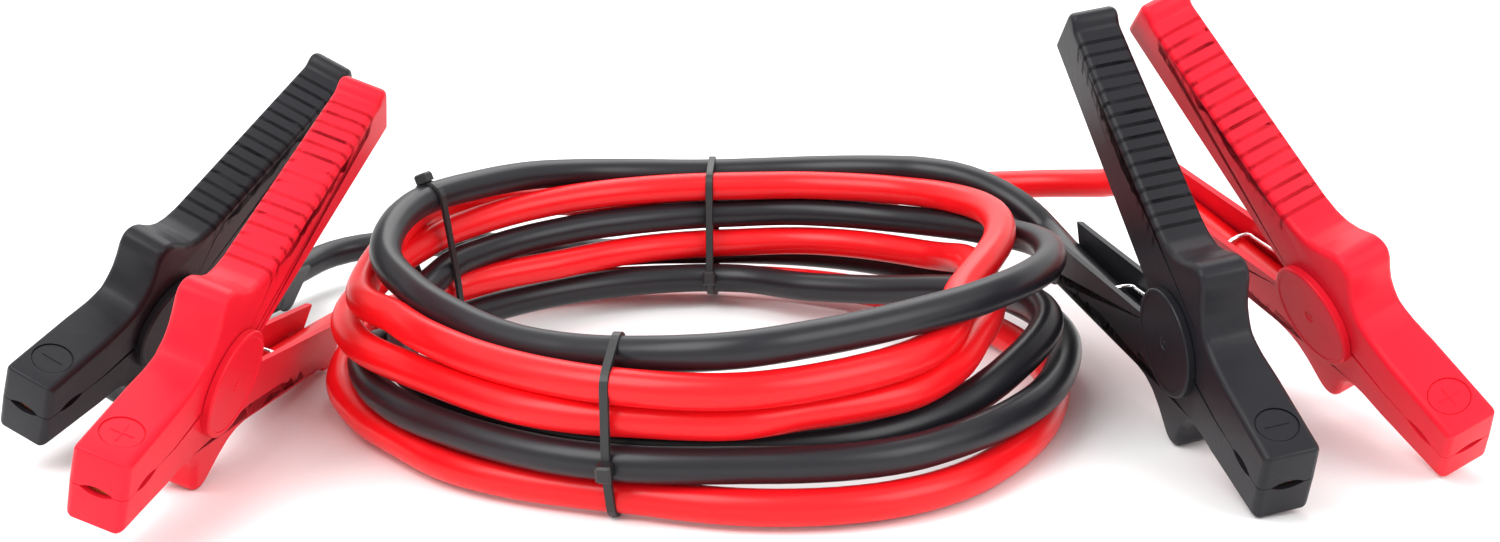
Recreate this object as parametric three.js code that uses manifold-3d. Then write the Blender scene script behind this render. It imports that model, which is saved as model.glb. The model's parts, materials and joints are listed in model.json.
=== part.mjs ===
// Car jumper cables: a red and a black booster cable wound together into one coil,
// held by three cable ties, with a spring clamp on each of the four ends.
// Millimetres, +Z up. The origin is on the floor, at the middle of the four clamps' footprint.

import * as THREE from 'three';
import { mergeVertices } from 'three/addons/utils/BufferGeometryUtils.js';
import Module from 'manifold-3d';

const wasm = await Module();
wasm.setup();

// Driving dimensions
const clearance = 0.3;
const cableDiameter = 13;

const wall = 2.2;
const gripHalfWidth = 9.4;
const jawHalfWidth = 10.2;
const jawDraft = 0.3;
const gripRounding = 2.6;
const jawRounding = 1.4;

const jawLength = 73;
const jawHeight = 15.3;
const jawRootX = 22;
const jawRootHeight = 21.5;
const guardHeight = 44.8;
const gripStart = { x: -22, z: 36.2 };
const gripEnd = { x: -99, z: 64.2 };
const handleTip = { x: -113.5, z: 68.5 };
const handleHeel = { x: -122, z: 49.8 };
const rimStart = { x: -24, z: 8.3 };

const grooveCount = 16;
const grooveWidth = 1.5;
const grooveDepth = 1.0;

const bossRadius = 12;
const discRadius = 20.5;
const discThickness = 3;
const pinRadius = 2.5;

const frontLens = { width: 11, height: 1.5 };
const sideLens = { start: 53, end: 66.5, height: 1.3 };
const partingSlit = 1.8;

const contactHalfWidth = 6.6;
const contactStart = 24;
const contactThickness = 3.2;
const toothPitch = 4;
const toothDepth = 1.6;
const crimpLength = 9;
const crimpRadius = 4.6;

const wireDiameter = 2;
const springTurns = 2;
const springCoilRadius = 4.6;
const springYokeX = -62;
const springYokeHalfWidth = 5.6;

const coilHalfLength = 139;
const coilHalfDepth = 129.5;
const coilThickness = 27;
const coilLayers = [1, 2, 1, 1];

const strapWidth = 3.6;
const strapThickness = 1.2;
const tieHead = { width: 5.6, height: 6, depth: 4.6 };
const coilBase = strapThickness + clearance;

const cableSides = 10;

// Materials
const plasticFinish = { roughness: 0.42, metalness: 0 };
const cableFinish = { roughness: 0.36, metalness: 0 };

function redPlastic() {
  return new THREE.MeshStandardMaterial({ color: 0xe01b22, ...plasticFinish });
}

function blackPlastic() {
  return new THREE.MeshStandardMaterial({ color: 0x1d1d20, ...plasticFinish });
}

function redSheath() {
  return new THREE.MeshStandardMaterial({ color: 0xe3151b, ...cableFinish });
}

function blackSheath() {
  return new THREE.MeshStandardMaterial({ color: 0x1c1c20, ...cableFinish });
}

function nickelSteel() {
  return new THREE.MeshStandardMaterial({ color: 0xc9c9cc, roughness: 0.25, metalness: 1 });
}

function copper() {
  return new THREE.MeshStandardMaterial({ color: 0xb8693c, roughness: 0.35, metalness: 1 });
}

function tieNylon() {
  return new THREE.MeshStandardMaterial({ color: 0x121214, roughness: 0.5, metalness: 0 });
}

// Solids and geometries
function toSolid(geometry) {
  const bare = geometry.clone();
  bare.deleteAttribute('normal');
  bare.deleteAttribute('uv');
  const merged = mergeVertices(bare, 1e-4);
  return new wasm.Manifold(new wasm.Mesh({
    numProp: 3,
    vertProperties: new Float32Array(merged.attributes.position.array),
    triVerts: new Uint32Array(merged.index.array),
  }));
}

function toGeometry(solid) {
  const mesh = solid.getMesh();
  const geometry = new THREE.BufferGeometry();
  geometry.setAttribute('position', new THREE.BufferAttribute(new Float32Array(mesh.vertProperties), 3));
  geometry.setIndex(new THREE.BufferAttribute(new Uint32Array(mesh.triVerts), 1));
  return geometry;
}

// Moves a chain of side-view points inwards; the body lies to the left of its direction of travel.
function insetChain(chain, distance) {
  return chain.map((point, i) => {
    const before = chain[Math.max(i - 1, 0)];
    const after = chain[Math.min(i + 1, chain.length - 1)];
    const into = new THREE.Vector2().subVectors(point, before).normalize();
    const out = new THREE.Vector2().subVectors(after, point).normalize();
    if (i === 0) into.copy(out);
    if (i === chain.length - 1) out.copy(into);
    const bisector = new THREE.Vector2().addVectors(into, out).normalize();
    const miter = distance / bisector.dot(out);
    return new THREE.Vector2(point.x - bisector.y * miter, point.y + bisector.x * miter);
  });
}

// Extrudes a side-view outline across the clamp, with y = 0 in the middle. Each layer of the
// extrusion has its own distance from the middle and its own outline of as many points.
function extrudeAcross(layers) {
  const outline = layers[0].outline;
  const geometry = new THREE.ExtrudeGeometry(new THREE.Shape(outline), {
    depth: layers.length - 1,
    steps: layers.length - 1,
    bevelEnabled: false,
  });
  const position = geometry.attributes.position;
  const nearest = (x, z) => outline.findIndex((p) => Math.hypot(p.x - x, p.y - z) < 1e-3);
  for (let i = 0; i < position.count; i += 1) {
    const layer = layers[Math.round(position.getZ(i))];
    const index = nearest(position.getX(i), position.getY(i));
    const point = layer.outline[index];
    position.setXYZ(i, point.x, -layer.across * (layer.widen ? layer.widen(point) : 1), point.y);
  }
  return geometry;
}

function plainAcross(outline, halfWidth) {
  return extrudeAcross([{ outline, across: -halfWidth }, { outline, across: halfWidth }]);
}

// A block with its long edges chamfered along the chain, and the underside left sharp.
function chamferedAcross(chain, underside, halfWidth, rounding, widen) {
  const full = [...chain, ...underside];
  const narrow = [...insetChain(chain, rounding), ...underside];
  return extrudeAcross([
    { outline: narrow, across: -halfWidth, widen },
    { outline: full, across: rounding - halfWidth, widen },
    { outline: full, across: halfWidth - rounding, widen },
    { outline: narrow, across: halfWidth, widen },
  ]);
}

function crossCylinder(radius, from, to, segments = 28) {
  return new THREE.CylinderGeometry(radius, radius, to - from, segments).translate(0, (from + to) / 2, 0);
}

const point = (x, z) => new THREE.Vector2(x, z);

// The lever seen from its side. The pivot is at the origin, the jaw points along +X, and the
// chain runs from the jaw's tip over the thumb guard and along the grip to the heel.
const jawTop = (x) => jawHeight + (jawLength - x) * 0.075;

const jawChain = [
  point(jawLength, clearance / 2),
  point(jawLength, jawHeight),
  point(40, jawTop(40)),
  point(30, jawTop(30) + 0.3),
  point(25.5, jawTop(25.5) + 1),
  point(jawRootX, jawRootHeight),
];

const gripChain = [
  point(jawRootX, clearance / 2),
  point(jawRootX, jawRootHeight),
  point(19.5, 24.6),
  point(17.3, 28.6),
  point(16, 34),
  point(15.2, guardHeight - 5),
  point(13.2, guardHeight - 1.3),
  point(9.5, guardHeight),
  point(5.5, guardHeight - 0.9),
  point(1.5, guardHeight - 3.6),
  point(-3, guardHeight - 6.6),
  point(-9, guardHeight - 9.2),
  point(-15, guardHeight - 9.8),
  point(gripStart.x, gripStart.z),
  point(gripEnd.x, gripEnd.z),
  point(gripEnd.x - 5.5, gripEnd.z + 2),
  point(gripEnd.x - 7.2, gripEnd.z + 5.2),
  point(gripEnd.x - 10, gripEnd.z + 6.8),
  point(handleTip.x + 1.6, handleTip.z + 1.4),
  point(handleTip.x, handleTip.z),
  point(handleHeel.x, handleHeel.z),
];

const rimChain = [point(rimStart.x, rimStart.z), point(-11, 4.2)];

function widenJaw(p) {
  const spread = THREE.MathUtils.clamp((p.x - jawRootX) / (40 - jawRootX), 0, 1);
  const halfWidth = THREE.MathUtils.lerp(gripHalfWidth, jawHalfWidth, spread);
  const draft = spread * jawDraft * (1 - p.y / jawHeight);
  return (halfWidth + draft) / gripHalfWidth;
}

// The lever's full outside, before it is hollowed.
function leverBlock() {
  const grip = chamferedAcross(gripChain, rimChain, gripHalfWidth, gripRounding);
  const root = point(jawRootX - 1, clearance / 2);
  const rootTop = point(jawRootX - 1, jawRootHeight + 1);
  const jaw = chamferedAcross([...jawChain, rootTop], [root], gripHalfWidth, jawRounding, widenJaw);
  return toSolid(grip).add(toSolid(jaw));
}

// The hollow under the jaw and the grip. An open heel lets the cable out.
function leverHollow(openHeel) {
  const outer = [...jawChain, ...gripChain.slice(2, 15)];
  if (!openHeel) {
    outer.push(point(handleTip.x + 1, handleTip.z), point(handleHeel.x, handleHeel.z));
  }
  const inner = insetChain(outer, wall);
  const last = inner[inner.length - 1];
  const along = new THREE.Vector2().subVectors(last, inner[inner.length - 2]).normalize();
  const reach = openHeel ? 60 : 25;
  const beyond = last.clone().addScaledVector(along, reach);
  const below = openHeel ? [beyond, point(beyond.x, 0)] : [beyond];
  const outline = [point(inner[0].x, -25), ...inner.slice(1), ...below];
  return toSolid(plainAcross(outline, gripHalfWidth - wall));
}

function gripGrooves() {
  const along = new THREE.Vector2(gripEnd.x - gripStart.x, gripEnd.z - gripStart.z);
  const slope = Math.atan2(-along.y, -along.x);
  let grooves = null;
  for (let i = 0; i < grooveCount; i += 1) {
    const share = i / (grooveCount - 1);
    const groove = new THREE.BoxGeometry(grooveWidth, 3 * gripHalfWidth, 2 * grooveDepth);
    groove.rotateY(-slope);
    groove.translate(gripStart.x + along.x * share, 0, gripStart.z + along.y * share);
    grooves = grooves ? grooves.add(toSolid(groove)) : toSolid(groove);
  }
  return grooves;
}

// Lens-shaped cuts at the parting line: one through the front wall, one through each cheek.
function lensCuts() {
  const half = frontLens.width / 2;
  const frontRadius = (half * half + frontLens.height ** 2) / (2 * frontLens.height);
  const front = new THREE.CylinderGeometry(frontRadius, frontRadius, 3 * wall, 48).rotateZ(Math.PI / 2);
  front.translate(jawLength, 0, frontLens.height - frontRadius);
  const run = (sideLens.end - sideLens.start) / 2;
  const sideRadius = (run * run + sideLens.height ** 2) / (2 * sideLens.height);
  const side = crossCylinder(sideRadius, -2 * jawHalfWidth, 2 * jawHalfWidth, 72);
  side.translate((sideLens.start + sideLens.end) / 2, 0, sideLens.height - sideRadius);
  return toSolid(front).add(toSolid(side));
}

function pinBore(halfLength) {
  return toSolid(crossCylinder(pinRadius + clearance, -halfLength, halfLength, 20));
}

function upperLeverSolid() {
  let lever = leverBlock().subtract(leverHollow(false)).subtract(gripGrooves()).subtract(lensCuts());
  for (const side of [-1, 1]) {
    const from = side * (gripHalfWidth - wall);
    const to = side * gripHalfWidth;
    lever = lever.add(toSolid(crossCylinder(bossRadius, Math.min(from, to), Math.max(from, to))));
  }
  return lever.subtract(pinBore(2 * gripHalfWidth));
}

// Made the same way up as the upper lever and turned over when it is placed.
function lowerLeverSolid() {
  let lever = leverBlock().subtract(leverHollow(true)).subtract(gripGrooves()).subtract(lensCuts());
  const slit = plainAcross([
    point(14, -1), point(50, -1), point(50, clearance / 2), point(jawRootX, partingSlit), point(14, partingSlit),
  ], 2 * jawHalfWidth);
  lever = lever.subtract(toSolid(slit));
  const discInside = gripHalfWidth + clearance;
  const padOutline = toSolid(plainAcross([...gripChain, ...rimChain], discInside + 1));
  for (const side of [-1, 1]) {
    const span = (a, b) => (side > 0 ? [a, b] : [-b, -a]);
    const pad = toSolid(crossCylinder(discRadius, ...span(gripHalfWidth - wall / 2, discInside + 0.5)));
    const disc = toSolid(crossCylinder(discRadius, ...span(discInside, discInside + discThickness)));
    lever = lever.add(pad.intersect(padOutline)).add(disc);
  }
  lever = lever.subtract(toSolid(crossCylinder(bossRadius + 2 * clearance, -discInside, discInside)));
  return lever.subtract(pinBore(discInside + discThickness - 1));
}

function pinGeometry() {
  const halfLength = gripHalfWidth + discThickness - 1;
  return crossCylinder(pinRadius, -halfLength, halfLength, 20);
}

// Cable channel: the middle of the cable where it lies on the lower lever's floor.
const channelSlope = (gripEnd.z - gripStart.z) / (gripStart.x - gripEnd.x);
const channelCosine = Math.cos(Math.atan(channelSlope));

function channelZ(x) {
  const floor = gripStart.z + (gripStart.x - x) * channelSlope;
  return -(floor - (wall + cableDiameter / 2 + clearance) / channelCosine);
}

const crimpEndX = -28;

// Toothed copper bar behind the jaw's parting line.
function contactOutline() {
  const outline = [];
  const end = jawLength - wall - clearance;
  const teeth = Math.floor((end - contactStart) / toothPitch);
  for (let i = 0; i < teeth; i += 1) {
    const x = contactStart + i * toothPitch;
    outline.push(point(x, clearance / 2 + toothDepth), point(x + toothPitch / 2, clearance / 2));
  }
  outline.push(point(end, clearance / 2 + toothDepth));
  outline.push(point(end, clearance / 2 + toothDepth + contactThickness));
  outline.push(point(contactStart, clearance / 2 + toothDepth + contactThickness));
  return outline;
}

function upperContactSolid() {
  return toSolid(plainAcross(contactOutline(), contactHalfWidth));
}

// The lower bar runs back under the pivot to the crimp that holds the cable's conductor.
function lowerContactSolid() {
  const bar = toSolid(plainAcross(contactOutline(), contactHalfWidth));
  const barTop = clearance / 2 + toothDepth;
  const tailThickness = 1.5;
  const bend = { x: 6, z: 15 };
  const crimpZ = -channelZ(crimpEndX + crimpLength / 2);
  const tail = toSolid(plainAcross([
    point(contactStart + 6, barTop + tailThickness), point(contactStart + 6, barTop + contactThickness),
    point(contactStart - 1, barTop + contactThickness + 1), point(bend.x, bend.z + tailThickness),
    point(crimpEndX + crimpLength, crimpZ), point(crimpEndX + crimpLength, crimpZ - 2 * tailThickness),
    point(bend.x, bend.z - tailThickness / 2), point(contactStart - 1, barTop + tailThickness),
  ], contactHalfWidth / 2));
  const crimp = new THREE.CylinderGeometry(crimpRadius, crimpRadius, crimpLength, 16).rotateZ(Math.PI / 2);
  crimp.rotateY(Math.atan(channelSlope));
  crimp.translate(crimpEndX + crimpLength / 2, 0, crimpZ);
  return bar.add(tail).add(toSolid(crimp));
}

// A curve through listed points whose steps fall on the points themselves.
class PointPath extends THREE.Curve {
  constructor(points) {
    super();
    this.points = points;
  }

  getPoint(t, target = new THREE.Vector3()) {
    const place = THREE.MathUtils.clamp(t, 0, 1) * (this.points.length - 1);
    const index = Math.min(Math.floor(place), this.points.length - 2);
    return target.lerpVectors(this.points[index], this.points[index + 1], place - index);
  }

  getUtoTmapping(u) {
    return u;
  }
}

function roundSection(radius, sides) {
  const section = [];
  for (let i = 0; i < sides; i += 1) {
    const angle = (2 * Math.PI * i) / sides;
    section.push(new THREE.Vector2(radius * Math.cos(angle), radius * Math.sin(angle)));
  }
  return new THREE.Shape(section);
}

function rod(points, radius, sides) {
  return new THREE.ExtrudeGeometry(roundSection(radius, sides), {
    steps: points.length - 1,
    extrudePath: new PointPath(points),
    bevelEnabled: false,
  });
}

// Double torsion spring: two coils round the pin, a yoke that lies on the cable in the lower
// lever, and two short legs that bear on the roof of the upper lever.
function springPoints() {
  const yokeZ = channelZ(springYokeX) + (cableDiameter / 2 + wireDiameter / 2 + clearance) / channelCosine;
  const stepsPerTurn = 8;
  const innerY = 1.6;
  const outerY = springYokeHalfWidth;
  const roof = new THREE.Vector3(-34, innerY, 31);
  const lowerAngle = -1.95;
  const upperAngle = 0.9 + 2 * Math.PI * springTurns;
  const half = [new THREE.Vector3(springYokeX, 0, yokeZ), new THREE.Vector3(springYokeX, outerY - 1, yokeZ)];
  half.push(new THREE.Vector3(springYokeX + 1, outerY, yokeZ + 0.4));
  const steps = springTurns * stepsPerTurn;
  for (let i = 0; i <= steps; i += 1) {
    const angle = THREE.MathUtils.lerp(lowerAngle, upperAngle, i / steps);
    const y = THREE.MathUtils.lerp(outerY, innerY, i / steps);
    half.push(new THREE.Vector3(springCoilRadius * Math.cos(angle), y, springCoilRadius * Math.sin(angle)));
  }
  half.push(roof);
  const mirrored = half.slice(1).map((p) => new THREE.Vector3(p.x, -p.y, p.z)).reverse();
  return [...mirrored, ...half.slice(1)];
}

// Where the clamps lie, seen from above with the coil's middle at (0, 0): the pivot, the turn
// of the jaw away from the front, the dip of the jaw and the lean to the side, in degrees.
const clampPlaces = [
  { name: 'left_black', x: -220.3, y: -3.8, turn: -22, dip: 12.3, lean: -26.9, red: false },
  { name: 'left_red', x: -175, y: -82.6, turn: -14, dip: 12, lean: -21, red: true },
  { name: 'right_black', x: 182.4, y: -71, turn: 14.8, dip: 24.9, lean: 8.2, red: false },
  { name: 'right_red', x: 240, y: -51.7, turn: 29, dip: 29.5, lean: 27.1, red: true },
];

const upperLever = toGeometry(upperLeverSolid());
const lowerLever = toGeometry(lowerLeverSolid()).rotateX(Math.PI);
const upperContact = toGeometry(upperContactSolid());
const lowerContact = toGeometry(lowerContactSolid()).rotateX(Math.PI);
const spring = rod(springPoints(), wireDiameter / 2, 6);

function clamp(place) {
  const plastic = place.red ? redPlastic : blackPlastic;
  const pieces = [
    [`${place.name}_upper_lever`, upperLever, plastic()],
    [`${place.name}_lower_lever`, lowerLever, plastic()],
    [`${place.name}_upper_contact`, upperContact, copper()],
    [`${place.name}_lower_contact`, lowerContact, copper()],
    [`${place.name}_pivot_pin`, pinGeometry(), nickelSteel()],
    [`${place.name}_torsion_spring`, spring, nickelSteel()],
  ];
  const group = new THREE.Group();
  for (const [name, geometry, material] of pieces) {
    const mesh = new THREE.Mesh(geometry, material);
    mesh.name = name;
    group.add(mesh);
  }
  const { degToRad } = THREE.MathUtils;
  group.rotation.set(degToRad(place.lean), degToRad(place.dip), degToRad(place.turn - 90), 'ZYX');
  group.position.set(place.x, place.y, 0);
  group.updateMatrixWorld(true);
  group.position.z = -new THREE.Box3().setFromObject(group, true).min.z;
  group.updateMatrixWorld(true);
  return group;
}

// Coil: one turned ring for each colour band in the stack, with a groove between its turns.
function coilRing(bottom, turns) {
  const radius = cableDiameter / 2;
  const profile = [];
  const arcSteps = 4;
  const outer = coilHalfLength;
  const inner = coilHalfLength - coilThickness;
  for (let turn = 0; turn < turns; turn += 1) {
    for (let i = 0; i <= arcSteps; i += 1) {
      const angle = -Math.PI / 2 + (Math.PI * (i + 0.15)) / (arcSteps + 0.3);
      const z = bottom + radius + turn * cableDiameter + radius * Math.sin(angle);
      profile.push(new THREE.Vector2(outer - radius + radius * Math.cos(angle), z));
    }
  }
  const inside = profile.map((p) => new THREE.Vector2(inner + outer - p.x, p.y)).reverse();
  const ring = [...profile, ...inside];
  ring.push(profile[0].clone());
  const geometry = new THREE.LatheGeometry(ring, 40).rotateX(Math.PI / 2);
  geometry.scale(1, coilHalfDepth / coilHalfLength, 1);
  return geometry;
}

function mesh(name, geometry, material) {
  const result = new THREE.Mesh(geometry, material);
  result.name = name;
  return result;
}

function coilBands() {
  const bands = new THREE.Group();
  let level = 0;
  coilLayers.forEach((turns, i) => {
    const red = i % 2 === 0;
    const name = `${red ? 'red' : 'black'}_coil_band_${i + 1}`;
    const bottom = coilBase + level * cableDiameter;
    bands.add(mesh(name, coilRing(bottom, turns), red ? redSheath() : blackSheath()));
    level += turns;
  });
  return bands;
}

const coilTurns = coilLayers.reduce((sum, turns) => sum + turns, 0);
const coilTop = coilBase + coilTurns * cableDiameter;

// Leads from the clamps to the coil. Each ends against the coil's side.
const facetDepth = 0.8;
const cableRest = cableDiameter / 2 + clearance;

function besideCoil(degrees, level) {
  const angle = THREE.MathUtils.degToRad(degrees);
  const outward = new THREE.Vector2(Math.cos(angle) / coilHalfLength, Math.sin(angle) / coilHalfDepth);
  outward.setLength(cableRest - facetDepth);
  const x = coilHalfLength * Math.cos(angle) + outward.x;
  const y = coilHalfDepth * Math.sin(angle) + outward.y;
  return [x, y, coilBase + (level - 0.5) * cableDiameter];
}

const leadRoutes = {
  left_black: [[-194, 140, 17], [-184, 157, 18], [-164, 167, 19], [-133, 164, 20], [-101, 153, 20], [-70, 144, 20],
    [-42, 139, 20], besideCoil(95, 2)],
  left_red: [[-163.5, 63, 11.5], [-159, 80, 10], [-147, 96, 8.5], [-126, 108, 8], [-100, 118, 8], besideCoil(112, 1)],
  right_black: [[153, 77, 44], [146, 86, 50], [136, 95, 57], [120, 103, 62], [98, 109, 61], besideCoil(58, 5)],
  right_red: [[196, 87, 63], [183, 106, 58], [163, 122, 54], [134, 134, 51], [103, 138, 49], [72, 138, 47],
    [48, 137, 47], besideCoil(80, 4)],
};

function leadPoints(place, group) {
  const inChannel = [crimpEndX - clearance, -45, springYokeX, -80, -98, -112].map(
    (x) => new THREE.Vector3(x, 0, channelZ(x)).applyMatrix4(group.matrixWorld),
  );
  const free = leadRoutes[place.name].map((p) => new THREE.Vector3(...p));
  const curve = new THREE.CatmullRomCurve3([...inChannel, ...free], false, 'centripetal');
  const steps = Math.round(curve.getLength() / (2 * cableDiameter));
  return curve.getSpacedPoints(steps);
}

// Cable ties: a strap loop round the bundle, a square head on it and the cut tail.
function tieSolid(loopInset) {
  const inside = { from: coilHalfLength - coilThickness - clearance, to: coilHalfLength + clearance };
  const corner = cableDiameter / 2;
  const roundedBox = (from, to, bottom, top, radius, path) => {
    path.absarc(to - radius, bottom + radius, radius, -Math.PI / 2, 0, false);
    path.absarc(to - radius, top - radius, radius, 0, Math.PI / 2, false);
    path.absarc(from + radius, top - radius, radius, Math.PI / 2, Math.PI, false);
    path.absarc(from + radius, bottom + radius, radius, Math.PI, 1.5 * Math.PI, false);
    return path;
  };
  const from = inside.from - loopInset;
  const to = inside.to - loopInset;
  const outer = roundedBox(
    from - strapThickness, to + strapThickness, 0, coilTop + clearance + strapThickness,
    corner + strapThickness, new THREE.Shape(),
  );
  outer.holes.push(roundedBox(from, to, strapThickness, coilTop + clearance, corner, new THREE.Path()));
  const loop = new THREE.ExtrudeGeometry(outer, { depth: strapWidth, bevelEnabled: false, curveSegments: 3 });
  loop.translate(0, 0, -strapWidth / 2).rotateX(Math.PI / 2);
  return { loop: toSolid(loop), from, to };
}

function cableTie(headHeight, headOutside, loopInset) {
  const { loop, from, to } = tieSolid(loopInset);
  const face = headOutside ? to : from - tieHead.depth;
  const head = new THREE.BoxGeometry(tieHead.depth, tieHead.width, tieHead.height);
  head.translate(face + tieHead.depth / 2 + (headOutside ? 0.4 : -0.4 + 0.8), 0, headHeight);
  return toGeometry(loop.add(toSolid(head)));
}

const tiePlaces = [
  { name: 'front_cable_tie', angle: -101, headHeight: 21, headOutside: true },
  { name: 'back_cable_tie', angle: 88, headHeight: 36, headOutside: false },
  { name: 'left_cable_tie', angle: 137, headHeight: 58, headOutside: true },
];

function ties() {
  const group = new THREE.Group();
  for (const place of tiePlaces) {
    const angle = THREE.MathUtils.degToRad(place.angle);
    const reach = Math.hypot(coilHalfLength * Math.cos(angle), coilHalfDepth * Math.sin(angle));
    const tie = mesh(place.name, cableTie(place.headHeight, place.headOutside, coilHalfLength - reach), tieNylon());
    tie.rotation.z = Math.atan2(coilHalfDepth * Math.sin(angle), coilHalfLength * Math.cos(angle));
    group.add(tie);
  }
  return group;
}

// Assembly
const clamps = new THREE.Group();
const leads = new THREE.Group();
for (const place of clampPlaces) {
  const group = clamp(place);
  clamps.add(group);
  const sheath = place.red ? redSheath() : blackSheath();
  leads.add(mesh(`${place.name}_cable_lead`, rod(leadPoints(place, group), cableDiameter / 2, cableSides), sheath));
}

const jumperCables = new THREE.Group();
jumperCables.add(clamps, leads, coilBands(), ties());
const footprint = new THREE.Box3().setFromObject(clamps, true).getCenter(new THREE.Vector3());
jumperCables.position.set(-footprint.x, -footprint.y, 0);
jumperCables.updateMatrixWorld(true);

export default jumperCables;
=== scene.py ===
import json
import math

import bmesh
import bpy
from mathutils import Euler, Matrix, Vector


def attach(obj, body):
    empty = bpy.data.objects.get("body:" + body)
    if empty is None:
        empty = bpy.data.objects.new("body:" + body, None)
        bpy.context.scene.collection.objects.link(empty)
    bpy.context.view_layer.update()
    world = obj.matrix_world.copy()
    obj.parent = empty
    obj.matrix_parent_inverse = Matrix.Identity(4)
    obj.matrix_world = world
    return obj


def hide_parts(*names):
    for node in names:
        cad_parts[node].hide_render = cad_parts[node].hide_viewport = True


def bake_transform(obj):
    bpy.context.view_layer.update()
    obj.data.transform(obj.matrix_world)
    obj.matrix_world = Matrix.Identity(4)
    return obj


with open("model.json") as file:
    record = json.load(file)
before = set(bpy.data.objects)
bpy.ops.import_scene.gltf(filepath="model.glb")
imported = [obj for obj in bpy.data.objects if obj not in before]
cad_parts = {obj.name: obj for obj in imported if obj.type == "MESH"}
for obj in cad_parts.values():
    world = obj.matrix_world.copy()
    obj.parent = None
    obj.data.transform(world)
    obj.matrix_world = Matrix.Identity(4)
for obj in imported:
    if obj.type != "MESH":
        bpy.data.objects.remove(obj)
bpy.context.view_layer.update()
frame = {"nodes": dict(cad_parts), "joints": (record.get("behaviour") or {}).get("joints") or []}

# Sizes, in metres
MM = 0.001
CABLE_DIAMETER = 0.013
BAND_LEVELS = {"red": (1, 3), "black": (2, 4)}

WALL = 2.2 * MM
CLEARANCE = 0.3 * MM
GRIP_HALF_WIDTH = 9.4 * MM
JAW_HALF_WIDTH = 10.2 * MM
JAW_DRAFT = 0.3 * MM
GRIP_ROUNDING = 2.6 * MM
JAW_LENGTH = 73 * MM
JAW_HEIGHT = 15.3 * MM
JAW_ROOT_X = 22 * MM
JAW_FULL_X = 40 * MM
GRIP_START = Vector((-22, 36.2)) * MM
GRIP_END = Vector((-99, 64.2)) * MM
GROOVES = 16
GROOVE_DEPTH = 0.95 * MM
GROOVE_HALF_WIDTH = 0.85 * MM
GROOVE_BOTTOM = 0.35 * MM
GROOVE_REACH = 8.5 * MM
GROOVE_LEAN = 0.4
FRONT_LENS_HALF = 5.5 * MM
FRONT_LENS_HEIGHT = 1.9 * MM
SIDE_LENS_X = 59.75 * MM
SIDE_LENS_HALF = 6.75 * MM
SIDE_LENS_HEIGHT = 1.8 * MM
DISC_RADIUS = 20.5 * MM
BORE_RADIUS = 2.8 * MM
BOSS_RADIUS = 12 * MM
BOSS_ROOM_RADIUS = 12.6 * MM
MARK_X = 60 * MM
MARK_RADIUS = 7 * MM
MARK_DEPTH = 0.35 * MM
MARK_LINE_WIDTH = 0.45 * MM
MARK_LINE_DEPTH = 0.8 * MM
BAR_HALF_LENGTH = 4 * MM
BAR_HALF_WIDTH = 0.25 * MM
WIRE_DIAMETER = 2 * MM
SPRING_RADIUS = 4.6 * MM
YOKE_X = -62 * MM
YOKE_HALF_WIDTH = 5.6 * MM
STRAP_WIDTH = 3.6 * MM
STRAP_THICKNESS = 1.2 * MM
HEAD_LENGTH = 6.5 * MM
HEAD_WIDTH = 5.6 * MM
HEAD_HEIGHT = 4.2 * MM

# The four clamps: turn of the jaw away from the front, dip of the jaw and lean, in degrees.
CLAMPS = {
    "left_black": (-22, 12.3, -26.9),
    "left_red": (-14, 12, -21),
    "right_black": (14.8, 24.9, 8.2),
    "right_red": (29, 29.5, 27.1),
}
pivots = {joint["name"][:-4]: Vector(joint["pos_m"]) for joint in frame["joints"]}
COIL_MIDDLE = Vector((pivots["left_black"].x + 0.2148, pivots["left_black"].y + 0.0038, 0))


def clamp_matrix(name):
    turn, dip, lean = (math.radians(angle) for angle in CLAMPS[name])
    turned = Euler((lean, dip, turn - math.pi / 2), "XYZ").to_matrix().to_4x4()
    return Matrix.Translation(pivots[name]) @ turned


# Camera
scene = bpy.context.scene
camera_data = bpy.data.cameras.new("camera")
camera = bpy.data.objects.new("camera", camera_data)
scene.collection.objects.link(camera)
scene.camera = camera
camera_data.sensor_width = 36
camera_data.lens = 43.3
camera_data.shift_y = -0.024
camera_data.clip_start = 0.01
camera.matrix_world = (
    Matrix.Translation(COIL_MIDDLE + Vector((0.0268, -0.6915, 0.266)))
    @ Matrix.Rotation(math.radians(74), 4, "X")
    @ Matrix.Rotation(math.radians(-1.4), 4, "Z")
)


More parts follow.
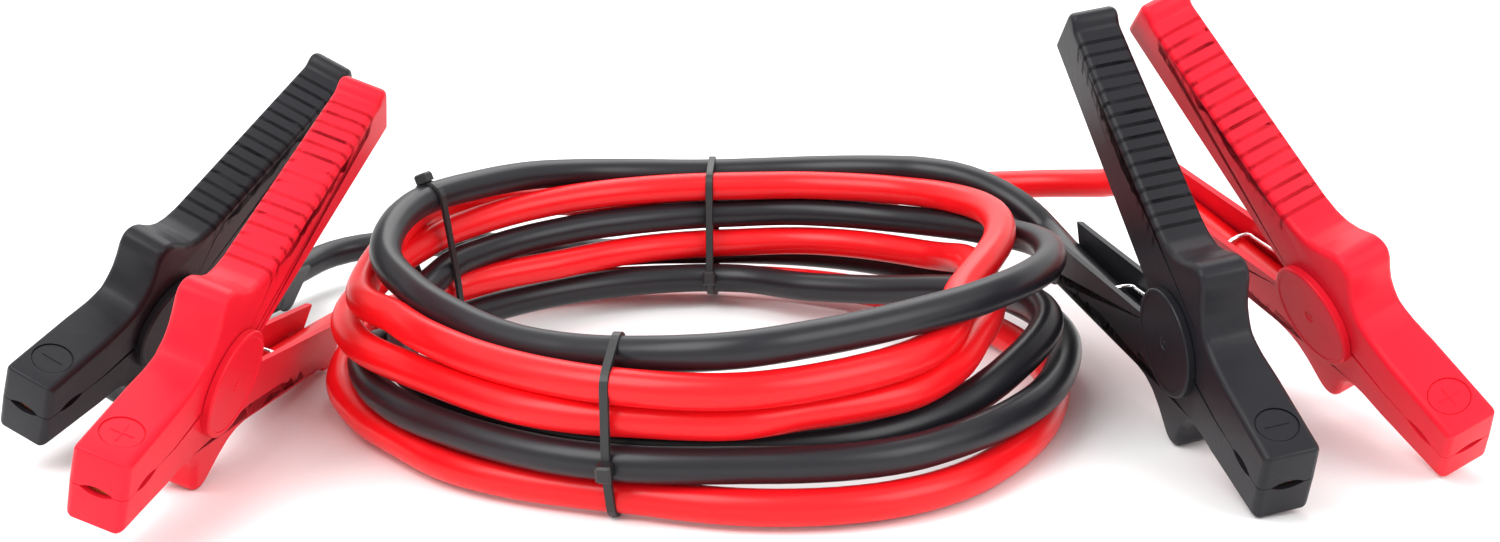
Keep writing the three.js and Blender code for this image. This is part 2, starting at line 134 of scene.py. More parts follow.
# Materials
def material(
    name, color, roughness, metallic=0.0, spread=0.12, grain=400.0, bump=0.02, specular=0.5
):
    """A surface whose shade and gloss vary softly, with a fine grain."""
    made = bpy.data.materials.new(name)
    made.use_nodes = True
    nodes, links = made.node_tree.nodes, made.node_tree.links
    shader = nodes["Principled BSDF"]
    shader.inputs["Metallic"].default_value = metallic
    shader.inputs["Specular IOR Level"].default_value = specular
    place = nodes.new("ShaderNodeTexCoord")
    broad = nodes.new("ShaderNodeTexNoise")
    broad.inputs["Scale"].default_value = 18
    broad.inputs["Detail"].default_value = 3
    fine = nodes.new("ShaderNodeTexNoise")
    fine.inputs["Scale"].default_value = grain
    fine.inputs["Detail"].default_value = 4
    links.new(place.outputs["Object"], broad.inputs["Vector"])
    links.new(place.outputs["Object"], fine.inputs["Vector"])
    shade = nodes.new("ShaderNodeValToRGB")
    shade.color_ramp.elements[0].position = 0.3
    shade.color_ramp.elements[0].color = (*[c * (1 - spread) for c in color], 1)
    shade.color_ramp.elements[1].position = 0.7
    shade.color_ramp.elements[1].color = (*[min(c * (1 + spread), 1) for c in color], 1)
    links.new(broad.outputs["Fac"], shade.inputs["Fac"])
    links.new(shade.outputs["Color"], shader.inputs["Base Color"])
    gloss = nodes.new("ShaderNodeMapRange")
    gloss.inputs["To Min"].default_value = roughness * 0.85
    gloss.inputs["To Max"].default_value = roughness * 1.15
    links.new(broad.outputs["Fac"], gloss.inputs["Value"])
    links.new(gloss.outputs["Result"], shader.inputs["Roughness"])
    relief = nodes.new("ShaderNodeBump")
    relief.inputs["Strength"].default_value = bump
    relief.inputs["Distance"].default_value = 0.0005
    links.new(fine.outputs["Fac"], relief.inputs["Height"])
    links.new(relief.outputs["Normal"], shader.inputs["Normal"])
    return made


MATERIALS = {
    "red_plastic": material("red_plastic", (0.74, 0.010, 0.026), 0.42, bump=0.12, specular=0.15),
    "black_plastic": material("black_plastic", (0.010, 0.010, 0.013), 0.42, bump=0.15, specular=0.22),
    "red_sheath": material("red_sheath", (0.80, 0.006, 0.010), 0.30, bump=0.03, specular=0.3),
    "black_sheath": material("black_sheath", (0.010, 0.010, 0.013), 0.34, bump=0.03, specular=0.35),
    "nickel_steel": material("nickel_steel", (0.80, 0.80, 0.80), 0.18, metallic=1.0, spread=0.05),
    "copper": material("copper", (0.72, 0.36, 0.18), 0.32, metallic=1.0),
    "tie_nylon": material("tie_nylon", (0.012, 0.012, 0.013), 0.42, bump=0.05),
}


def link(name, data, slot):
    piece = bpy.data.objects.new(name, data)
    scene.collection.objects.link(piece)
    if data.materials:
        data.materials[0] = MATERIALS[slot]
    else:
        data.materials.append(MATERIALS[slot])
    return piece


# Cables: each runs from its left clamp, three times round the coil, to its right clamp.
# A station of the coil is its angle, its distance from the middle as a share of the coil's
# half length and half depth, and its height in millimetres.
COIL_HALF_LENGTH = 0.1405
COIL_HALF_DEPTH = 0.123

RED_COIL = [
    (116, 1.16, 8), (100, 1.12, 8), (78, 1.06, 9), (58, 0.99, 11), (38, 0.98, 11), (18, 1.01, 9),
    (0, 1.04, 8), (-20, 1.06, 8), (-38, 1.10, 8), (-54, 1.14, 8), (-67, 1.12, 8), (-82, 1.04, 8),
    (-96, 0.95, 8), (-109, 0.92, 8), (-131, 0.91, 8), (-147, 0.90, 8), (-163, 0.94, 8.5),
    (-180, 1.0, 12), (-195, 1.0, 19), (-205, 0.97, 24.5), (-216, 0.91, 28.5), (-240, 0.89, 28.5),
    (-260, 0.97, 28.5), (-279, 1.03, 28.5), (-291, 1.07, 29), (-303, 1.06, 30), (-318, 1.03, 32),
    (-334, 0.94, 40), (-352, 0.86, 45), (-372, 0.87, 44), (-390, 0.90, 41.5), (-400, 0.935, 38),
    (-413, 0.97, 36), (-432, 0.96, 36), (-441, 0.98, 36), (-455, 0.94, 36), (-468, 0.92, 36),
    (-493, 0.86, 36), (-509, 0.87, 36), (-523, 0.92, 36), (-540, 0.97, 37), (-555, 0.97, 41.5),
    (-565, 0.965, 46.5), (-577, 0.95, 52), (-600, 0.96, 55.5), (-620, 1.01, 55.5),
    (-639, 1.04, 55.5), (-650, 1.08, 55.5), (-670, 1.11, 56.5), (-682, 1.08, 58.5), (-698, 1.0, 61),
    (-713, 0.92, 61), (-730, 0.85, 59), (-745, 0.83, 55), (-758, 0.90, 51.5), (-770, 0.97, 49.5),
    (-783, 1.0, 49), (-801, 1.02, 48.8), (-815, 0.975, 49), (-829, 0.91, 48.6), (-843, 0.86, 48.5),
    (-859, 0.835, 49.3), (-878, 0.84, 50), (-890, 0.90, 50), (-900, 0.915, 51), (-915, 0.93, 55.5),
    (-930, 0.995, 60), (-945, 1.085, 58), (-960, 1.11, 53), (-975, 1.12, 47), (-990, 1.13, 45),
    (-1000, 1.17, 45), (-1018, 1.22, 47),
]
BLACK_COIL = [
    (104, 1.16, 21), (90, 1.13, 21), (75, 1.15, 20), (60, 1.17, 18.5), (40, 1.13, 18),
    (20, 1.11, 19), (0, 1.09, 20.5), (-13, 1.08, 22), (-30, 1.09, 21.5), (-59, 1.10, 21.5),
    (-66, 1.08, 21.5), (-81, 1.01, 21.5), (-95, 0.98, 21.5), (-108, 0.95, 21.5), (-119, 0.92, 21.5),
    (-132, 0.90, 21.5), (-146, 0.90, 21.5), (-163, 0.91, 22), (-180, 0.92, 23), (-195, 0.89, 18),
    (-205, 0.88, 15.5), (-216, 0.89, 14.5), (-260, 0.93, 14.5), (-279, 0.93, 14.5),
    (-295, 0.84, 16), (-315, 0.84, 20), (-335, 0.88, 28), (-355, 0.97, 36), (-372, 1.03, 37),
    (-388, 1.0, 31), (-402, 0.97, 24.5), (-420, 0.95, 22), (-441, 0.885, 22.5), (-455, 0.86, 23),
    (-468, 0.83, 23), (-479, 0.80, 23), (-506, 0.78, 23.5), (-523, 0.80, 24), (-540, 0.82, 26.5),
    (-555, 0.85, 32), (-565, 0.88, 35), (-576, 0.91, 39), (-603, 0.94, 42), (-620, 0.99, 42),
    (-639, 1.05, 42), (-649, 1.08, 42.5), (-660, 1.10, 42.5), (-671, 1.10, 43.5), (-690, 1.08, 48),
    (-700, 1.08, 51), (-712, 1.06, 55), (-727, 1.03, 58.5), (-745, 0.99, 61.5), (-758, 0.97, 62.5),
    (-770, 0.95, 62.5), (-781, 0.945, 62), (-791, 0.96, 62), (-801, 0.965, 61), (-815, 0.88, 57),
    (-829, 0.79, 53), (-846, 0.745, 52), (-865, 0.735, 54), (-885, 0.78, 58), (-900, 0.845, 62),
    (-915, 0.89, 67), (-930, 0.93, 70), (-945, 0.96, 69.5), (-960, 1.02, 67.5), (-975, 1.10, 62.5),
    (-990, 1.135, 59), (-1000, 1.15, 59), (-1010, 1.18, 60), (-1020, 1.19, 62), (-1030, 1.19, 64),
]
RED_START = [
    (-0.158, 0.063, 0.0115), (-0.1535, 0.080, 0.010), (-0.1415, 0.096, 0.0085), (-0.1205, 0.108, 0.008),
    (-0.0945, 0.118, 0.008),
]
RED_END = [
    (0.108, 0.1365, 0.050), (0.140, 0.1335, 0.051), (0.168, 0.1225, 0.054), (0.188, 0.1055, 0.058),
    (0.202, 0.0865, 0.0635),
]
BLACK_START = [
    (-0.188, 0.1405, 0.017), (-0.178, 0.158, 0.018), (-0.158, 0.168, 0.019), (-0.128, 0.165, 0.020),
    (-0.096, 0.154, 0.021), (-0.064, 0.144, 0.021),
]
BLACK_END = [
    (0.126, 0.103, 0.062), (0.142, 0.094, 0.056), (0.152, 0.085, 0.050), (0.159, 0.0765, 0.0435),
]


def coil_place(angle, share, height):
    along = share * COIL_HALF_LENGTH * math.cos(math.radians(angle))
    across = share * COIL_HALF_DEPTH * math.sin(math.radians(angle))
    return Vector((along, across, height))


def eased(before, start, end, after, share):
    """A smooth curve through start and end whose slopes look back to before and on to after."""
    slope_in = (end - before) / 2
    slope_out = (after - start) / 2
    s2, s3 = share ** 2, share ** 3
    return (
        (2 * s3 - 3 * s2 + 1) * start + (s3 - 2 * s2 + share) * slope_in
        + (3 * s2 - 2 * s3) * end + (s3 - s2) * slope_out
    )


def coil_turns(stations, step=6):
    """The cable's places round the coil, a step of so many degrees or less apart."""
    places = []
    padded = [stations[0], *stations, stations[-1]]
    for before, start, end, after in zip(padded, padded[1:], padded[2:], padded[3:]):
        steps = max(1, round((start[0] - end[0]) / step))
        for i in range(steps):
            share = i / steps
            angle = start[0] + (end[0] - start[0]) * share
            spread, height = (eased(before[k], start[k], end[k], after[k], share) for k in (1, 2))
            places.append(coil_place(angle, spread, height * MM))
    places.append(coil_place(*stations[-1][:2], stations[-1][2] * MM))
    return places


CHANNEL_SLOPE = (GRIP_END.y - GRIP_START.y) / (GRIP_START.x - GRIP_END.x)
CHANNEL_COSINE = math.cos(math.atan(CHANNEL_SLOPE))


def channel_height(x):
    floor = GRIP_START.y + (GRIP_START.x - x) * CHANNEL_SLOPE
    return (WALL + CABLE_DIAMETER / 2 + CLEARANCE) / CHANNEL_COSINE - floor


def in_channel(name, stops):
    """Places along the cable's channel in a clamp's lower lever."""
    turned = clamp_matrix(name)
    return [turned @ Vector((x * MM, 0, channel_height(x * MM))) for x in stops]


def cable_places(color, start, coil, end):
    free = [Vector(p) for p in start] + coil_turns(coil) + [Vector(p) for p in end]
    return [
        *in_channel(f"left_{color}", (-27, -45, -65, -85, -100)),
        *[COIL_MIDDLE + place for place in free],
        *in_channel(f"right_{color}", (-100, -85, -65, -45, -27)),
    ]


def wire(name, places, diameter, slot, sides=8):
    """A round strand that runs smoothly through the places."""
    data = bpy.data.curves.new(name, "CURVE")
    data.dimensions = "3D"
    data.bevel_depth = diameter / 2
    data.bevel_resolution = sides
    data.resolution_u = 3
    data.use_fill_caps = True
    spline = data.splines.new("BEZIER")
    spline.bezier_points.add(len(places) - 1)
    for knot, place in zip(spline.bezier_points, places):
        knot.co = place
        knot.handle_left_type = knot.handle_right_type = "AUTO"
    return link(name, data, slot)


def as_mesh(curve, slot):
    """The curve's tube as a mesh piece of the same name."""
    name = curve.name
    data = bpy.data.meshes.new_from_object(curve.evaluated_get(bpy.context.evaluated_depsgraph_get()))
    bpy.data.objects.remove(curve)
    return link(name, data, slot)


cable_lines = {
    "red": cable_places("red", RED_START, RED_COIL, RED_END),
    "black": cable_places("black", BLACK_START, BLACK_COIL, BLACK_END),
}
for color, line in cable_lines.items():
    cable = wire(f"{color}_cable", line, CABLE_DIAMETER, f"{color}_sheath")
    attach(cable, "cable_set")
    bands = [f"{color}_coil_band_{level}" for level in BAND_LEVELS[color]]
    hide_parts(f"left_{color}_cable_lead", f"right_{color}_cable_lead", *bands)


# Shapes seen from the side of a clamp, as chains of (x, z) points
def mm(*points):
    return [Vector(p) * MM for p in points]


def softened(chain, reach, steps=4):
    """The chain with its inner corners rounded, from at most reach before each to reach after."""
    smooth = [chain[0]]
    for before, corner, after in zip(chain, chain[1:], chain[2:]):
        into, out = corner - before, after - corner
        start = corner - into.normalized() * min(reach, 0.45 * into.length)
        end = corner + out.normalized() * min(reach, 0.45 * out.length)
        for i in range(steps + 1):
            t = i / steps
            smooth.append((1 - t) ** 2 * start + 2 * t * (1 - t) * corner + t ** 2 * end)
    return [*smooth, chain[-1]]


def inset(chain, distance):
    """The chain moved to its left by a distance, measured square to it."""
    moved = []
    for i, corner in enumerate(chain):
        before, after = chain[max(i - 1, 0)], chain[min(i + 1, len(chain) - 1)]
        into, out = (corner - before).normalized(), (after - corner).normalized()
        if i == 0:
            into = out
        if i == len(chain) - 1:
            out = into
        middle = (into + out).normalized()
        reach = distance / max(middle.dot(out), 0.5)
        moved.append(corner + Vector((-middle.y, middle.x)) * reach)
    return moved


def loft(name, layers):
    """A closed mesh from rings of points, one per layer, with flat ends."""
    count = len(layers[0])
    points = [place for layer in layers for place in layer]
    faces = [list(range(count))[::-1], [(len(layers) - 1) * count + i for i in range(count)]]
    for row in range(len(layers) - 1):
        for i in range(count):
            j = (i + 1) % count
            faces.append([row * count + i, row * count + j, (row + 1) * count + j, (row + 1) * count + i])
    data = bpy.data.meshes.new(name)
    data.from_pydata([tuple(p) for p in points], [], faces)
    return data


def across(name, sections):
    """A lever-like block: each section is a distance to the side and a chain of (x, z) points."""
    return loft(name, [[Vector((p.x, y, p.y)) for p in chain] for y, chain in sections])


def plain_block(name, chain, half_width):
    return across(name, [(half_width, chain), (-half_width, chain)])


def scratch(data):
    """An object that only lasts until it has been combined with others."""
    helper = bpy.data.objects.new(data.name, data)
    scene.collection.objects.link(helper)
    return helper


def combine(base, steps):
    """The mesh of base after cutting away or joining on the given meshes in order."""
    body = scratch(base)
    helpers = []
    for operation, tool in steps:
        helper = scratch(tool)
        helpers.append(helper)
        modifier = body.modifiers.new(operation, "BOOLEAN")
        modifier.operation = operation
        modifier.solver = "MANIFOLD"
        modifier.object = helper
    depsgraph = bpy.context.evaluated_depsgraph_get()
    result = bpy.data.meshes.new_from_object(body.evaluated_get(depsgraph))
    for helper in [body, *helpers]:
        bpy.data.objects.remove(helper)
    return result


def cross_cylinder(name, radius, start, end, middle=(0, 0), sides=64):
    """A cylinder that lies across the clamp, between two distances to the side."""
    ring = [
        Vector((middle[0] + radius * math.cos(a), middle[1] + radius * math.sin(a)))
        for a in (2 * math.pi * i / sides for i in range(sides))
    ]
    return across(name, [(end, ring), (start, ring)])


# Chains of one lever, the upper way up: jaw tip, jaw, thumb guard, grip and heel
JAW_CHAIN = mm((73, 0.15), (73, 15.3), (40, 17.8), (30, 18.8), (25.5, 20), (22, 21.5))
GUARD_CHAIN = mm(
    (19.5, 24.6), (17.3, 28.6), (16, 34), (15.2, 39.8), (13.2, 43.5), (9.5, 44.8), (5.5, 43.9), (1.5, 41.2),
    (-3, 38.2), (-9, 35.6), (-15, 35), (-22, 36.2),
)
GRIP_CHAIN = mm(
    (-99, 64.2), (-104.5, 66.2), (-106.2, 69.4), (-109, 71), (-111.9, 69.9), (-113.5, 68.5), (-122, 49.8),
)
RIM_CHAIN = mm((-24, 8.3), (-11, 4.2), (21, 0.15))


def widen_jaw(data):
    """Spreads the jaw beyond the grip's width, with faces split where that starts and stops."""
    work = bmesh.new()
    work.from_mesh(data)
    for x in (JAW_ROOT_X, JAW_FULL_X):
        everything = work.verts[:] + work.edges[:] + work.faces[:]
        bmesh.ops.bisect_plane(work, geom=everything, plane_co=(x, 0, 0), plane_no=(1, 0, 0))
    for vertex in work.verts:
        share = min(max((vertex.co.x - JAW_ROOT_X) / (JAW_FULL_X - JAW_ROOT_X), 0), 1)
        draft = JAW_DRAFT * (1 - vertex.co.z / JAW_HEIGHT)
        vertex.co.y *= 1 + share * (JAW_HALF_WIDTH + draft - GRIP_HALF_WIDTH) / GRIP_HALF_WIDTH
    work.to_mesh(data)
    work.free()


def lever_block():
    """The full outline of a lever, with rounded edges along its top."""
    chain = [*JAW_CHAIN, *GUARD_CHAIN, *GRIP_CHAIN]
    sections = []
    steps = 7
    for side in (1, -1):
        turns = range(steps + 1) if side > 0 else range(steps, -1, -1)
        for i in turns:
            angle = math.pi / 2 * (1 - i / steps)
            soft = softened(inset(chain, GRIP_ROUNDING * (1 - math.cos(angle))), 1.5 * MM)
            out = side * (GRIP_HALF_WIDTH - GRIP_ROUNDING * (1 - math.sin(angle)))
            sections.append((out, soft + RIM_CHAIN))
    return across("lever", sections)


def lever_hollow(open_heel):
    """The space inside a lever, which runs out through the heel where the cable enters."""
    outer = [*JAW_CHAIN, *GUARD_CHAIN, GRIP_CHAIN[0]]
    if not open_heel:
        outer += mm((-112.5, 68.5), (-122, 49.8))
    inner = inset(outer, WALL)
    onward = (inner[-1] - inner[-2]).normalized()
    beyond = inner[-1] + onward * (60 if open_heel else 25) * MM
    below = [beyond, Vector((beyond.x, 0))] if open_heel else [beyond]
    outline = [Vector((inner[0].x, -25 * MM)), *inner[1:], *below]
    return plain_block("hollow", outline, GRIP_HALF_WIDTH - WALL)


def groove(index):
    """One groove over the grip, whose ends run down both cheeks and lean towards the jaw."""
    along = (GRIP_END - GRIP_START).normalized()
    outward = Vector((along.y, -along.x))
    run = (GRIP_END - GRIP_START).length * index / (GROOVES - 1)
    middle = GRIP_HALF_WIDTH - GRIP_ROUNDING
    half = [(GRIP_HALF_WIDTH, -GROOVE_REACH, 0), (GRIP_HALF_WIDTH, -GRIP_ROUNDING - 1 * MM, 0)]
    for degrees in (0, 30, 60, 90):
        angle = math.radians(degrees)
        aside, height = middle + GRIP_ROUNDING * math.cos(angle), GRIP_ROUNDING * (math.sin(angle) - 1)
        half.append((aside, height, angle))
    stations = half + [(-y, height, math.pi - angle) for y, height, angle in reversed(half)]
    layers = []
    for y, height, angle in stations:
        depth = GROOVE_DEPTH * (0.55 + 0.45 * math.sin(angle))
        above = 0.8 * MM
        bottom, top = GROOVE_BOTTOM, GROOVE_HALF_WIDTH + (GROOVE_HALF_WIDTH - GROOVE_BOTTOM) * above / depth
        lean = GROOVE_LEAN * min(0, height + 3 * MM)
        layer = []
        for reach, shift in ((-depth, -bottom), (-depth, bottom), (above, top), (above, -top)):
            place = GRIP_START + along * (run + shift + lean)
            place = place + outward * (height + reach * math.sin(angle))
            layer.append(Vector((place.x, y + reach * math.cos(angle), place.y)))
        layers.append(layer)
    return loft("groove", layers)


def side_lens(start, end):
    """The lens-shaped opening between the jaws' sides, right through."""
    height = SIDE_LENS_HEIGHT
    radius = (SIDE_LENS_HALF ** 2 + height ** 2) / (2 * height)
    return cross_cylinder("lens", radius, start, end, (SIDE_LENS_X, height - radius), 360)


def front_lens():
    """The lens-shaped opening between the jaws' tips."""
    half, height = FRONT_LENS_HALF, FRONT_LENS_HEIGHT
    radius = (half ** 2 + height ** 2) / (2 * height)
    ring = [2 * math.pi * i / 160 for i in range(160)]
    return loft("front", [
        [Vector((x, radius * math.cos(a), height - radius + radius * math.sin(a))) for a in ring]
        for x in (JAW_LENGTH - 2 * WALL, JAW_LENGTH + 2 * WALL)
    ])


def on_mark(name, outline, bottom, top):
    """A block on the jaw's sloping top, between two heights over it; the outline is of (x, y) points."""
    slope = (JAW_CHAIN[2].y - JAW_CHAIN[1].y) / (JAW_CHAIN[2].x - JAW_CHAIN[1].x)
    height = JAW_HEIGHT + (MARK_X - JAW_LENGTH) * slope
    return loft(name, [
        [Vector((MARK_X + x, y, height + lift + slope * x)) for x, y in outline]
        for lift in (bottom, top)
    ])


def mark_round(name, radius, bottom, top):
    ring = [2 * math.pi * i / 64 for i in range(64)]
    return on_mark(name, [(radius * math.cos(a), radius * math.sin(a)) for a in ring], bottom, top)


def mark_bar(half_x, half_y):
    corners = [(-half_x, -half_y), (half_x, -half_y), (half_x, half_y), (-half_x, half_y)]
    return on_mark("bar", corners, -MARK_LINE_DEPTH, -0.1 * MM)


def disc(side):
    """The round cover over the pivot, with a raised rim and a small recess in the middle."""
    inside = GRIP_HALF_WIDTH + CLEARANCE
    rim = DISC_RADIUS / MM
    profile = [
        (0.0, 0), (rim, 0), (rim, 2.2), (rim - 0.3, 2.75), (rim - 0.9, 3.0), (rim - 2.1, 3.0),
        (rim - 2.5, 2.75), (2.6, 2.75), (2.3, 2.35), (0.9, 2.35), (0.7, 2.7), (0.0, 2.7),
    ]
    sides = 96
    points, faces = [], []
    for radius, out in profile:
        for i in range(sides):
            a = 2 * math.pi * i / sides
            reach = max(radius, 0.01) * MM
            points.append((reach * math.cos(a), side * (inside + out * MM), reach * math.sin(a)))
    for row in range(len(profile) - 1):
        for i in range(sides):
            j = (i + 1) % sides
            quad = [row * sides + i, row * sides + j, (row + 1) * sides + j, (row + 1) * sides + i]
            faces.append(quad if side < 0 else quad[::-1])
    last = (len(profile) - 1) * sides
    first_cap, last_cap = list(range(sides)), [last + i for i in range(sides)]
    faces += [first_cap[::-1], last_cap] if side < 0 else [first_cap, last_cap[::-1]]
    data = bpy.data.meshes.new("disc")
    data.from_pydata(points, [], faces)
    return data


def lever_cuts(open_heel):
    width = 2 * JAW_HALF_WIDTH
    cuts = [("DIFFERENCE", lever_hollow(open_heel))]
    cuts += [("DIFFERENCE", groove(i)) for i in range(GROOVES)]
    cuts.append(("DIFFERENCE", front_lens()))
    cuts.append(("DIFFERENCE", side_lens(-width, width)))
    return cuts


def upper_lever(plus):
    """The lever that moves, with a plus or a minus sign on its jaw."""
    steps = lever_cuts(False)
    face_radius = MARK_RADIUS - MARK_LINE_WIDTH
    steps.append(("DIFFERENCE", mark_round("mark", MARK_RADIUS, -MARK_LINE_DEPTH, 2 * MM)))
    steps.append(("UNION", mark_round("face", face_radius, -1 * MM, -MARK_DEPTH)))
    steps.append(("UNION", mark_bar(BAR_HALF_WIDTH, BAR_HALF_LENGTH)))
    if plus:
        steps.append(("UNION", mark_bar(BAR_HALF_LENGTH, BAR_HALF_WIDTH)))
    outside, cheek = GRIP_HALF_WIDTH, GRIP_HALF_WIDTH - WALL
    for start, end in ((-outside, -cheek), (cheek, outside)):
        steps.append(("UNION", cross_cylinder("boss", BOSS_RADIUS, start, end)))
    steps.append(("DIFFERENCE", cross_cylinder("bore", BORE_RADIUS, -2 * outside, 2 * outside)))
    made = combine(lever_block(), steps)
    widen_jaw(made)
    return made


def lower_lever():
    """The lever that holds the cable, turned over, with both discs over the pivot."""
    steps = lever_cuts(True)
    slit = mm((14, -1), (50, -1), (50, 0.15), (22, 1.8), (14, 1.8))
    steps.append(("DIFFERENCE", plain_block("slit", slit, 2 * JAW_HALF_WIDTH)))
    inside = GRIP_HALF_WIDTH + CLEARANCE
    guard = softened([JAW_CHAIN[-1], *GUARD_CHAIN, *GRIP_CHAIN], 3 * MM) + RIM_CHAIN
    for side in (-1, 1):
        pad_ends = sorted((side * (GRIP_HALF_WIDTH - WALL / 2), side * (inside + 0.5 * MM)))
        pad = cross_cylinder("pad", DISC_RADIUS, *pad_ends, sides=96)
        limit = plain_block("limit", guard, inside + 1 * MM)
        steps.append(("UNION", combine(pad, [("INTERSECT", limit)])))
        steps.append(("UNION", disc(side)))
    steps.append(("DIFFERENCE", cross_cylinder("room", BOSS_ROOM_RADIUS, -inside, inside)))
    steps.append(("DIFFERENCE", cross_cylinder("bore", BORE_RADIUS, -inside - 1 * MM, inside + 1 * MM)))
    made = combine(lever_block(), steps)
    widen_jaw(made)
    made.transform(Matrix.Rotation(math.pi, 4, "X"))
    return made


def shade(piece, degrees=10):
    piece.data.shade_smooth()
    piece.data.set_sharp_from_angle(angle=math.radians(degrees))


# Springs
def spring_places():
    """Two coils round the pin, a yoke on the cable and two legs under the upper lever's roof."""
    over_cable = CABLE_DIAMETER / 2 + WIRE_DIAMETER / 2 + CLEARANCE
    yoke_height = channel_height(YOKE_X) + over_cable / CHANNEL_COSINE
    inner, outer, turns, per_turn = 1.6 * MM, YOKE_HALF_WIDTH, 2, 16
    low_angle, high_angle = -1.95, 0.9 + 2 * math.pi * turns
    half = [
        Vector((YOKE_X, outer - 1.2 * MM, yoke_height)),
        Vector((YOKE_X + 1.2 * MM, outer, yoke_height + 0.4 * MM)),
    ]
    low = Vector((SPRING_RADIUS * math.cos(low_angle), outer, SPRING_RADIUS * math.sin(low_angle)))
    half += [half[-1].lerp(low, share) for share in (0.06, 0.5, 0.94)]
    steps = turns * per_turn
    for i in range(steps + 1):
        share = i / steps
        angle = low_angle + (high_angle - low_angle) * share
        half.append(Vector((SPRING_RADIUS * math.cos(angle), outer + (inner - outer) * share,
                            SPRING_RADIUS * math.sin(angle))))
    roof = Vector((-34 * MM, inner, 31 * MM))
    half += [half[-1].lerp(roof, share) for share in (0.06, 0.5, 1)]
    mirrored = [Vector((p.x, -p.y, p.z)) for p in reversed(half)]
    return mirrored + half


# Clamps
INNER_PARTS = (("upper_contact", "copper"), ("lower_contact", "copper"), ("pivot_pin", "nickel_steel"))
levers = {"red": upper_lever(True), "black": upper_lever(False)}
lower = lower_lever()
for name in CLAMPS:
    color = name.split("_")[1]
    turned = clamp_matrix(name)
    for part, data, body in (
        ("upper_lever", levers[color], f"{name}_handle"),
        ("lower_lever", lower, "cable_set"),
    ):
        piece = link(f"{name}_{part}_shell", data.copy(), f"{color}_plastic")
        piece.data.transform(turned)
        shade(piece)
        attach(piece, body)
        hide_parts(f"{name}_{part}")
    line = [turned @ p for p in spring_places()]
    spring = as_mesh(wire(f"{name}_spring", line, WIRE_DIAMETER, "nickel_steel", sides=4), "nickel_steel")
    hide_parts(f"{name}_torsion_spring")
    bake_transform(spring)
    for part, slot in INNER_PARTS:
        node = frame["nodes"][f"{name}_{part}"]
        node.data.materials.clear()
        node.data.materials.append(MATERIALS[slot])


# Ties
COIL_INSIDE = 0.07
COIL_OUTSIDE = 0.165


def turns_left(start, middle, end):
    return (middle[0] - start[0]) * (end[1] - start[1]) > (middle[1] - start[1]) * (end[0] - start[0])


def hull(points):
    """The corners of the tightest loop round some points, anticlockwise."""
    ordered = sorted(points)

    def side(chain):
        kept = []
        for p in chain:
            while len(kept) > 1 and not turns_left(kept[-2], kept[-1], p):
                kept.pop()
            kept.append(p)
        return kept[:-1]

    return side(ordered) + side(ordered[::-1])


def strands_at(angle):
    """Where the coil's strands cross the upright plane through its middle at an angle."""
    outward = Vector((math.cos(angle), math.sin(angle), 0))
    sideways = Vector((-outward.y, outward.x, 0))
    found = []
    for line in cable_lines.values():
        for start, end in zip(line, line[1:]):
            start, end = start - COIL_MIDDLE, end - COIL_MIDDLE
            a, b = start.dot(sideways), end.dot(sideways)
            if a * b >= 0:
                continue
            place = start.lerp(end, a / (a - b))
            if COIL_INSIDE < place.dot(outward) < COIL_OUTSIDE:
                found.append((place.dot(outward), place.z))
    return found


def nearest_on(loop, target):
    """The place on a closed loop nearest to a target, and the loop's direction there."""
    found = []
    for start, end in zip(loop, loop[1:] + loop[:1]):
        run = end - start
        share = min(max((target - start).dot(run) / run.length_squared, 0), 1)
        place = start + run * share
        found.append(((target - place).length, place, run.normalized()))
    return min(found, key=lambda item: item[0])[1:]


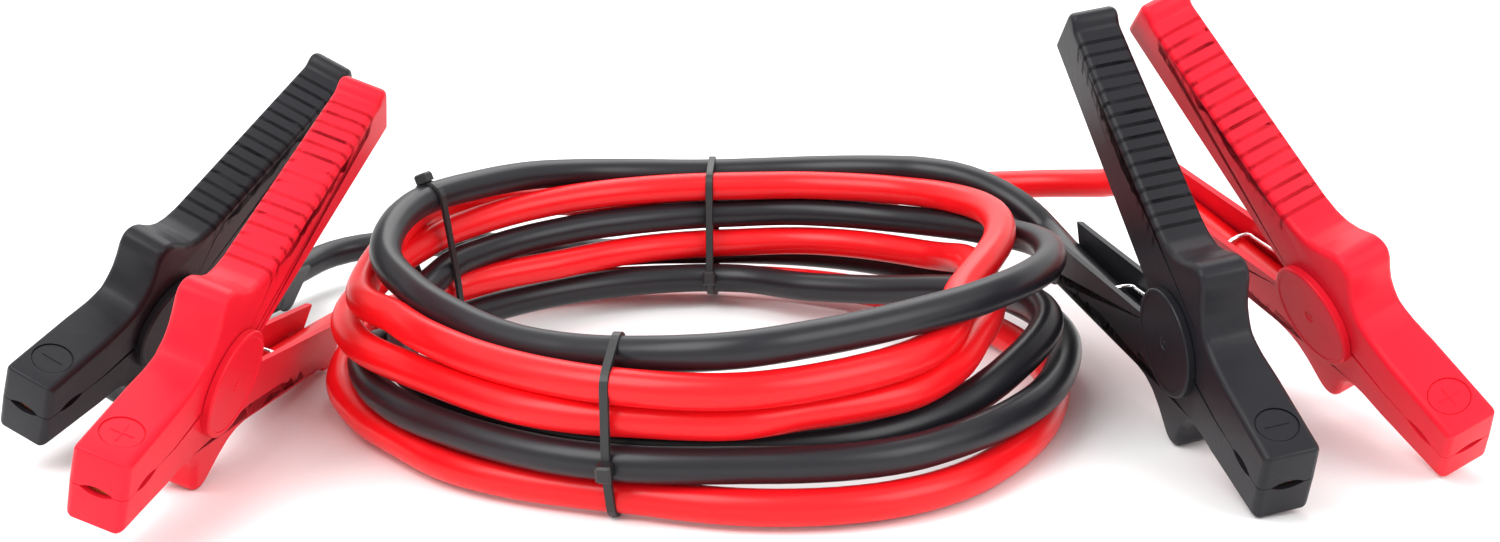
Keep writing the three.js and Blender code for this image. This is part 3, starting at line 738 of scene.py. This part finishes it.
def tie(name, degrees, head_reach, head_height):
    """A strap round all strands at an angle of the coil, with its head nearest to the given place."""
    angle = math.radians(degrees)
    outward = Vector((math.cos(angle), math.sin(angle), 0))
    sideways = Vector((-outward.y, outward.x, 0))

    def placed(spot, aside):
        return COIL_MIDDLE + outward * spot.x + Vector((0, 0, max(spot.y, 0.2 * MM))) + sideways * aside

    reach = CABLE_DIAMETER / 2 + STRAP_THICKNESS / 2 + 0.1 * MM
    rim = [
        (r + reach * math.cos(2 * math.pi * i / 24), z + reach * math.sin(2 * math.pi * i / 24))
        for r, z in strands_at(angle) for i in range(24)
    ]
    loop = [Vector(p) for p in hull(rim)]
    points = []
    for i, place in enumerate(loop):
        onward = (loop[(i + 1) % len(loop)] - loop[i - 1]).normalized()
        normal = Vector((onward.y, -onward.x))
        for out, aside in ((-0.5, -0.5), (0.5, -0.4), (0.5, 0.4), (-0.5, 0.5)):
            points.append(placed(place + normal * out * STRAP_THICKNESS, aside * STRAP_WIDTH))
    faces = []
    for i in range(len(loop)):
        j = (i + 1) % len(loop)
        for k in range(4):
            n = (k + 1) % 4
            faces.append([4 * i + k, 4 * j + k, 4 * j + n, 4 * i + n])
    strap = bpy.data.meshes.new(name)
    strap.from_pydata([tuple(p) for p in points], [], faces)
    place, onward = nearest_on(loop, Vector((head_reach, head_height)) * MM)
    normal = Vector((onward.y, -onward.x))
    layers = []
    for along, share in ((-0.5, 0.82), (-0.38, 1), (0.38, 1), (0.5, 0.82)):
        layer = []
        for out, aside in ((0, -0.5), (0.85, -0.5), (1, -0.36), (1, 0.36), (0.85, 0.5), (0, 0.5)):
            spot = place + onward * along * HEAD_LENGTH + normal * out * share * HEAD_HEIGHT
            layer.append(placed(spot, aside * share * HEAD_WIDTH))
        layers.append(layer)
    head = loft("head", layers)
    return link(f"{name}_strap", combine(strap, [("UNION", head)]), "tie_nylon")


ties = [
    tie("front_cable_tie", -101, 200, 17),
    tie("back_cable_tie", 86, 0, 46),
    tie("left_cable_tie", 151, 150, 200),
]
for piece in ties:
    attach(piece, "cable_set")
    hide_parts(piece.name.removesuffix("_strap"))

# Floor and light
bpy.ops.mesh.primitive_plane_add(size=14, location=(0, 0, 0))
floor = bpy.context.object
floor.name = "floor"
floor_material = material("floor", (0.88, 0.88, 0.88), 0.9, spread=0.01, specular=0.1)
floor.data.materials.append(floor_material)

world = scene.world or bpy.data.worlds.new("world")
scene.world = world
world.use_nodes = True
background = world.node_tree.nodes["Background"]
background.inputs["Color"].default_value = (1, 1, 1, 1)
background.inputs["Strength"].default_value = 1.0

LIGHTS = [
    ("key", (-0.7, -0.5, 1.1), 14, 0.9),
    ("fill", (0.9, -0.7, 0.8), 8, 0.8),
    ("back", (0.1, 1.0, 1.2), 12, 1.2),
]
for name, place, power, size in LIGHTS:
    data = bpy.data.lights.new(name, "AREA")
    data.energy = power
    data.size = size
    light = bpy.data.objects.new(name, data)
    light.location = place
    light.rotation_euler = (Vector((0, 0, 0.04)) - Vector(place)).to_track_quat("-Z", "Y").to_euler()
    scene.collection.objects.link(light)

scene.view_settings.view_transform = "Standard"
